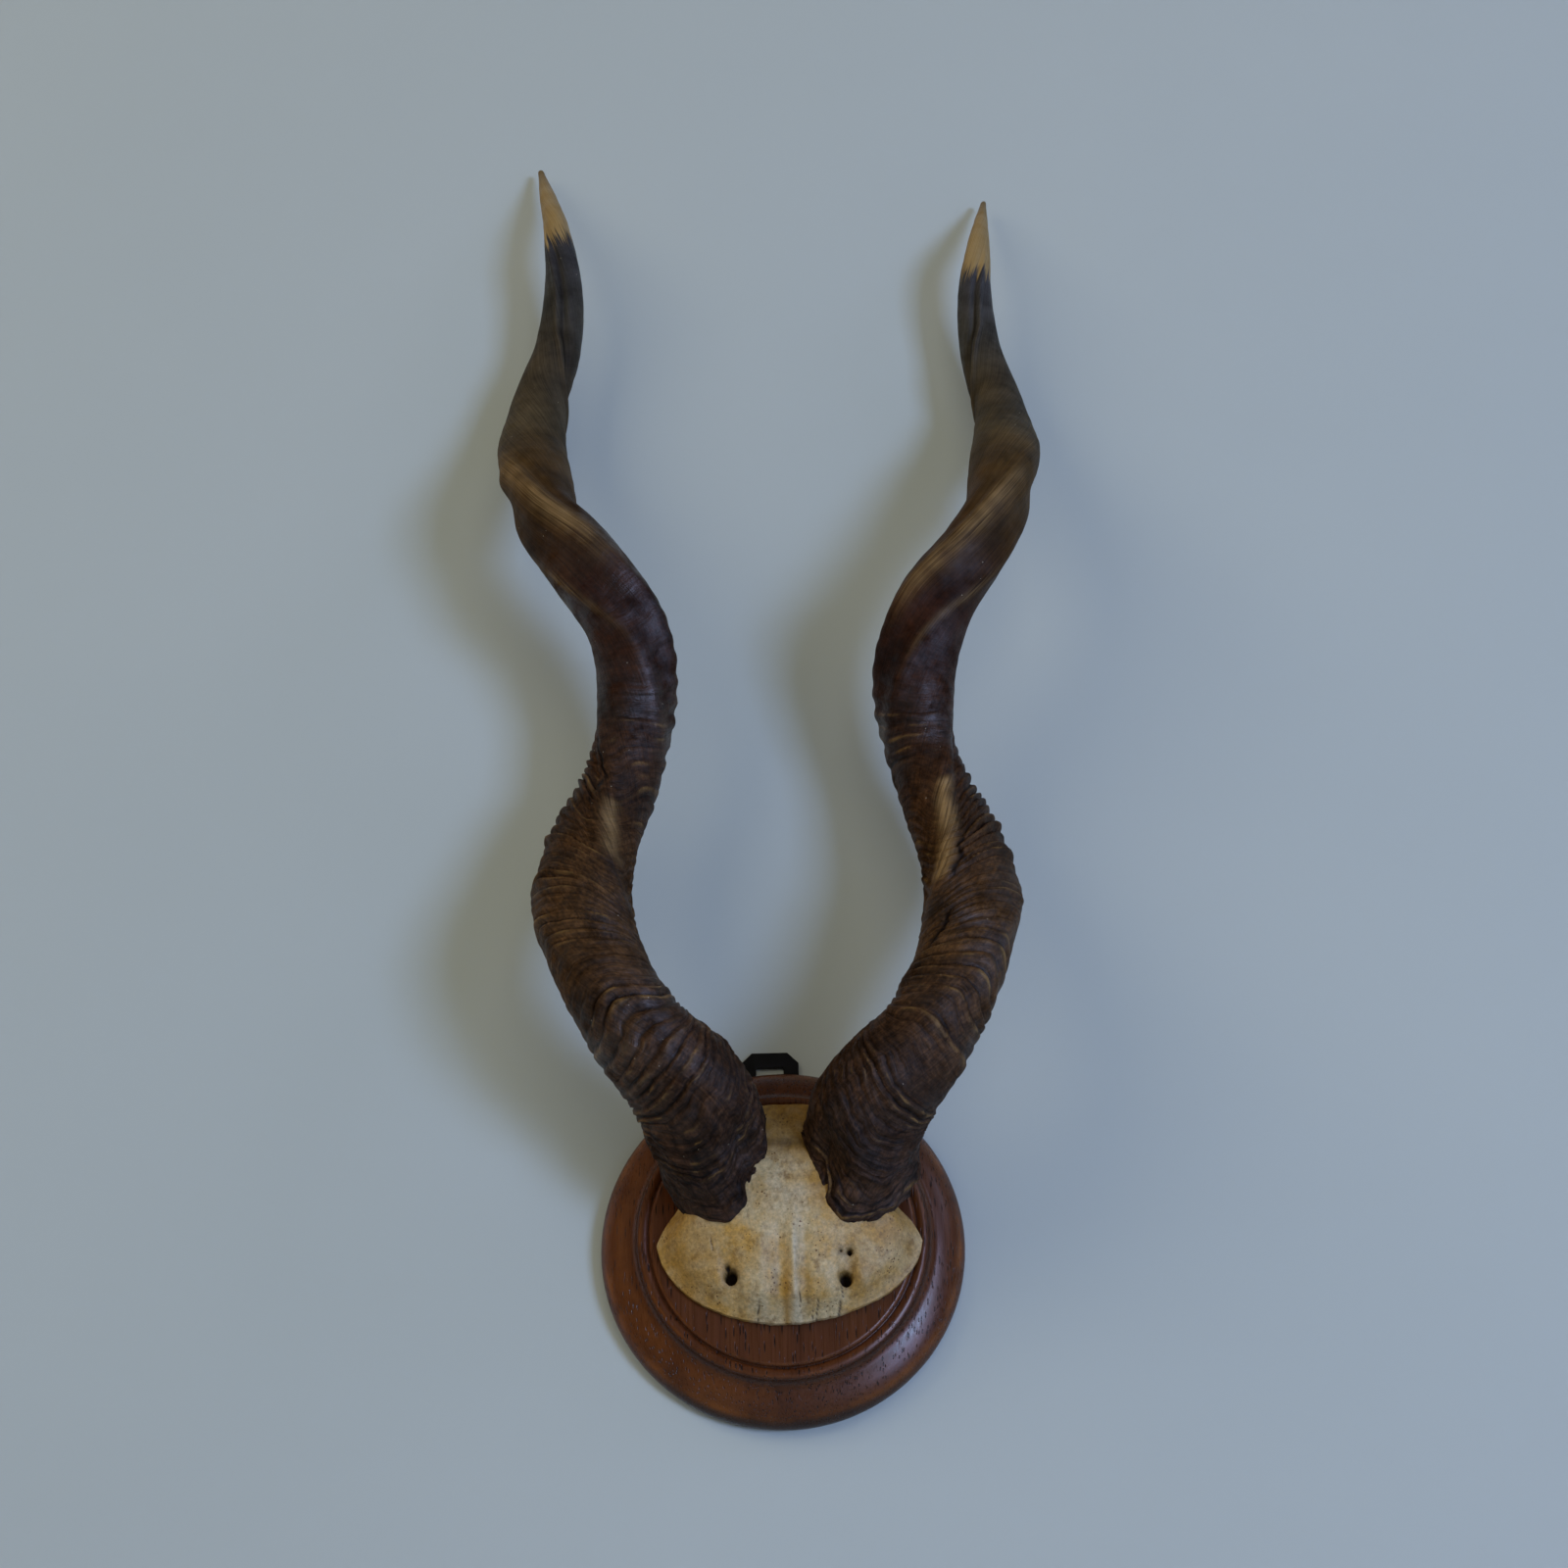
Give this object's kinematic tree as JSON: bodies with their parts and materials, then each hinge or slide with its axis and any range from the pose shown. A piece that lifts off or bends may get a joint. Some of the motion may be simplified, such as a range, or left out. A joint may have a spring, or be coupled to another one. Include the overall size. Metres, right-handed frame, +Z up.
{
  "type": "mounted kudu horn pair",
  "caption": "Spiralled kudu horns on their sawn skull cap, screwed to a round turned oak shield with a slotted steel hanging plate behind its top edge.",
  "frame": {"origin": "centre of the shield's back face, which lies flat on the wall", "axes": "+Z up, towards the horns' tips; +Y into the wall, so the front faces -Y; +X to the viewer's right"},
  "size_m": [0.4038, 0.1516, 1.0378],
  "materials": {
    "oak": "turned oak, stained dark red-brown and waxed, with open pores and orange wear on the rim",
    "bone": null,
    "horn": null,
    "black_steel": "black japanned steel plate, satin",
    "screw_steel": "dulled steel wood screws"
  },
  "bodies": {
    "root": {"shield": "oak", "skull_cap": "bone", "horn_left": "horn", "horn_right": "horn", "hanger_plate": "black_steel", "hanger_screw_upper": "screw_steel", "hanger_screw_lower": "screw_steel", "cap_screw_left": "screw_steel", "cap_screw_right": "screw_steel", "cap_screw_lower": "screw_steel"}
  },
  "joints": []
}
